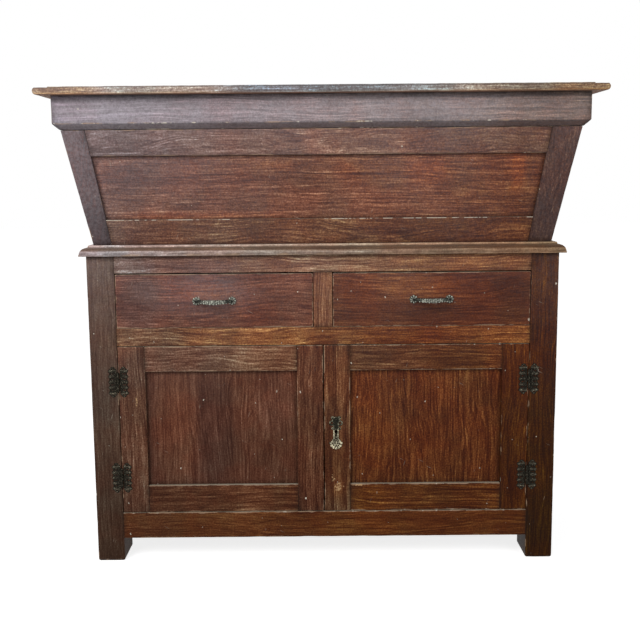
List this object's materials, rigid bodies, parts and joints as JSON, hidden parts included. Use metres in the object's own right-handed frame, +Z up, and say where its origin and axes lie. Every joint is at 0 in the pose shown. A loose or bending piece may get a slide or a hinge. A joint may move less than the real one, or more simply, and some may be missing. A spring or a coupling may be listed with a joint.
{
  "type": "bread cupboard",
  "caption": "Bread cupboard with a flared kneading trough under a lifting lid, drawers below it and a cupboard with framed doors on post legs.",
  "frame": {"origin": "middle of the whole box, on the floor", "axes": "+X to the right seen from the front, +Y to the rear (doors and drawers face -Y), +Z up"},
  "size_m": [1.15, 0.5434, 1.0205],
  "materials": {
    "wood_body": "dark red-brown stain, worn wax",
    "wood_light": "red-brown stain, worn wax",
    "wood_dark": "dark brown stain, dull",
    "wood_panel": "deep red-brown stain, worn wax",
    "wood_inside": "bare aged wood",
    "wood_edge": "stain worn down to tan wood",
    "iron": "dark aged iron",
    "pewter": "dull grey cast metal with green patina",
    "old_brass": "tarnished"
  },
  "bodies": {
    "cupboard": {"front_leg_left": "wood_dark", "front_leg_right": "wood_body", "rear_legs": "wood_dark", "bottom_rail": "wood_body", "middle_rail": "wood_body", "top_rail": "wood_light", "drawer_muntin": "wood_light", "side_panels": "wood_body", "carcass_rails": "wood_dark", "back_boards": "wood_dark", "cupboard_floor": "wood_inside", "shelf": "wood_inside", "shelf_cleats": "wood_inside", "drawer_runners": "wood_inside", "waist_moulding": "wood_edge", "trough_floor": "wood_inside", "trough_stile_left": "wood_dark", "trough_stile_right": "wood_body", "trough_lower_rail": "wood_body", "trough_upper_rail": "wood_light", "trough_panel": "wood_panel", "trough_ends": "wood_body", "trough_back": "wood_dark", "post_hinge_leaves": "iron", "lid_hinge_fixed_leaves": "iron", "fixed_nails": "iron"},
    "lid": {"lid_planks": "wood_edge", "lid_apron_front": "wood_light", "lid_apron_sides": "wood_light", "lid_apron_back": "wood_light", "lid_battens": "wood_inside", "lid_hinge_moving_leaves": "iron", "lid_nails": "iron"},
    "left_door": {"left_door_hinge_stile": "wood_body", "left_door_lock_stile": "wood_body", "left_door_rails": "wood_light", "left_door_panel": "wood_panel", "left_door_hinge_leaves": "iron", "left_door_nails": "iron", "left_door_keeper": "iron"},
    "left_door_bolt": {"left_door_bolt": "iron"},
    "right_door": {"right_door_hinge_stile": "wood_light", "right_door_lock_stile": "wood_light", "right_door_rails": "wood_light", "right_door_panel": "wood_panel", "right_door_hinge_leaves": "iron", "right_door_nails": "iron", "keyhole_plate": "old_brass", "lock_case": "iron"},
    "lock_bolt": {"lock_bolt": "iron"},
    "left_drawer": {"left_drawer_front": "wood_panel", "left_drawer_sides": "wood_inside", "left_drawer_back": "wood_inside", "left_drawer_bottom": "wood_inside", "left_drawer_pull": "pewter"},
    "right_drawer": {"right_drawer_front": "wood_panel", "right_drawer_sides": "wood_inside", "right_drawer_back": "wood_inside", "right_drawer_bottom": "wood_inside", "right_drawer_pull": "pewter"}
  },
  "joints": [
    {"name": "lid_hinge", "type": "hinge", "parent": "cupboard", "child": "lid", "pos_m": [0, 0.2677, 0.93475], "axis": [-1, 0, 0], "range_deg": [0, 95]},
    {"name": "left_door_hinge", "type": "hinge", "parent": "cupboard", "child": "left_door", "pos_m": [-0.4414, -0.2001, 0.3], "axis": [0, 0, -1], "range_deg": [0, 170]},
    {"name": "right_door_hinge", "type": "hinge", "parent": "cupboard", "child": "right_door", "pos_m": [0.4414, -0.2001, 0.3], "axis": [0, 0, 1], "range_deg": [0, 170]},
    {"name": "left_drawer_slide", "type": "slide", "parent": "cupboard", "child": "left_drawer", "axis": [0, -1, 0], "range_m": [0, 0.3]},
    {"name": "right_drawer_slide", "type": "slide", "parent": "cupboard", "child": "right_drawer", "axis": [0, -1, 0], "range_m": [0, 0.3]},
    {"name": "lock_bolt_slide", "type": "slide", "parent": "right_door", "child": "lock_bolt", "axis": [-1, 0, 0], "range_m": [0, 0.009]},
    {"name": "left_door_bolt_slide", "type": "slide", "parent": "left_door", "child": "left_door_bolt", "axis": [0, 0, 1], "range_m": [0, 0.014]}
  ]
}
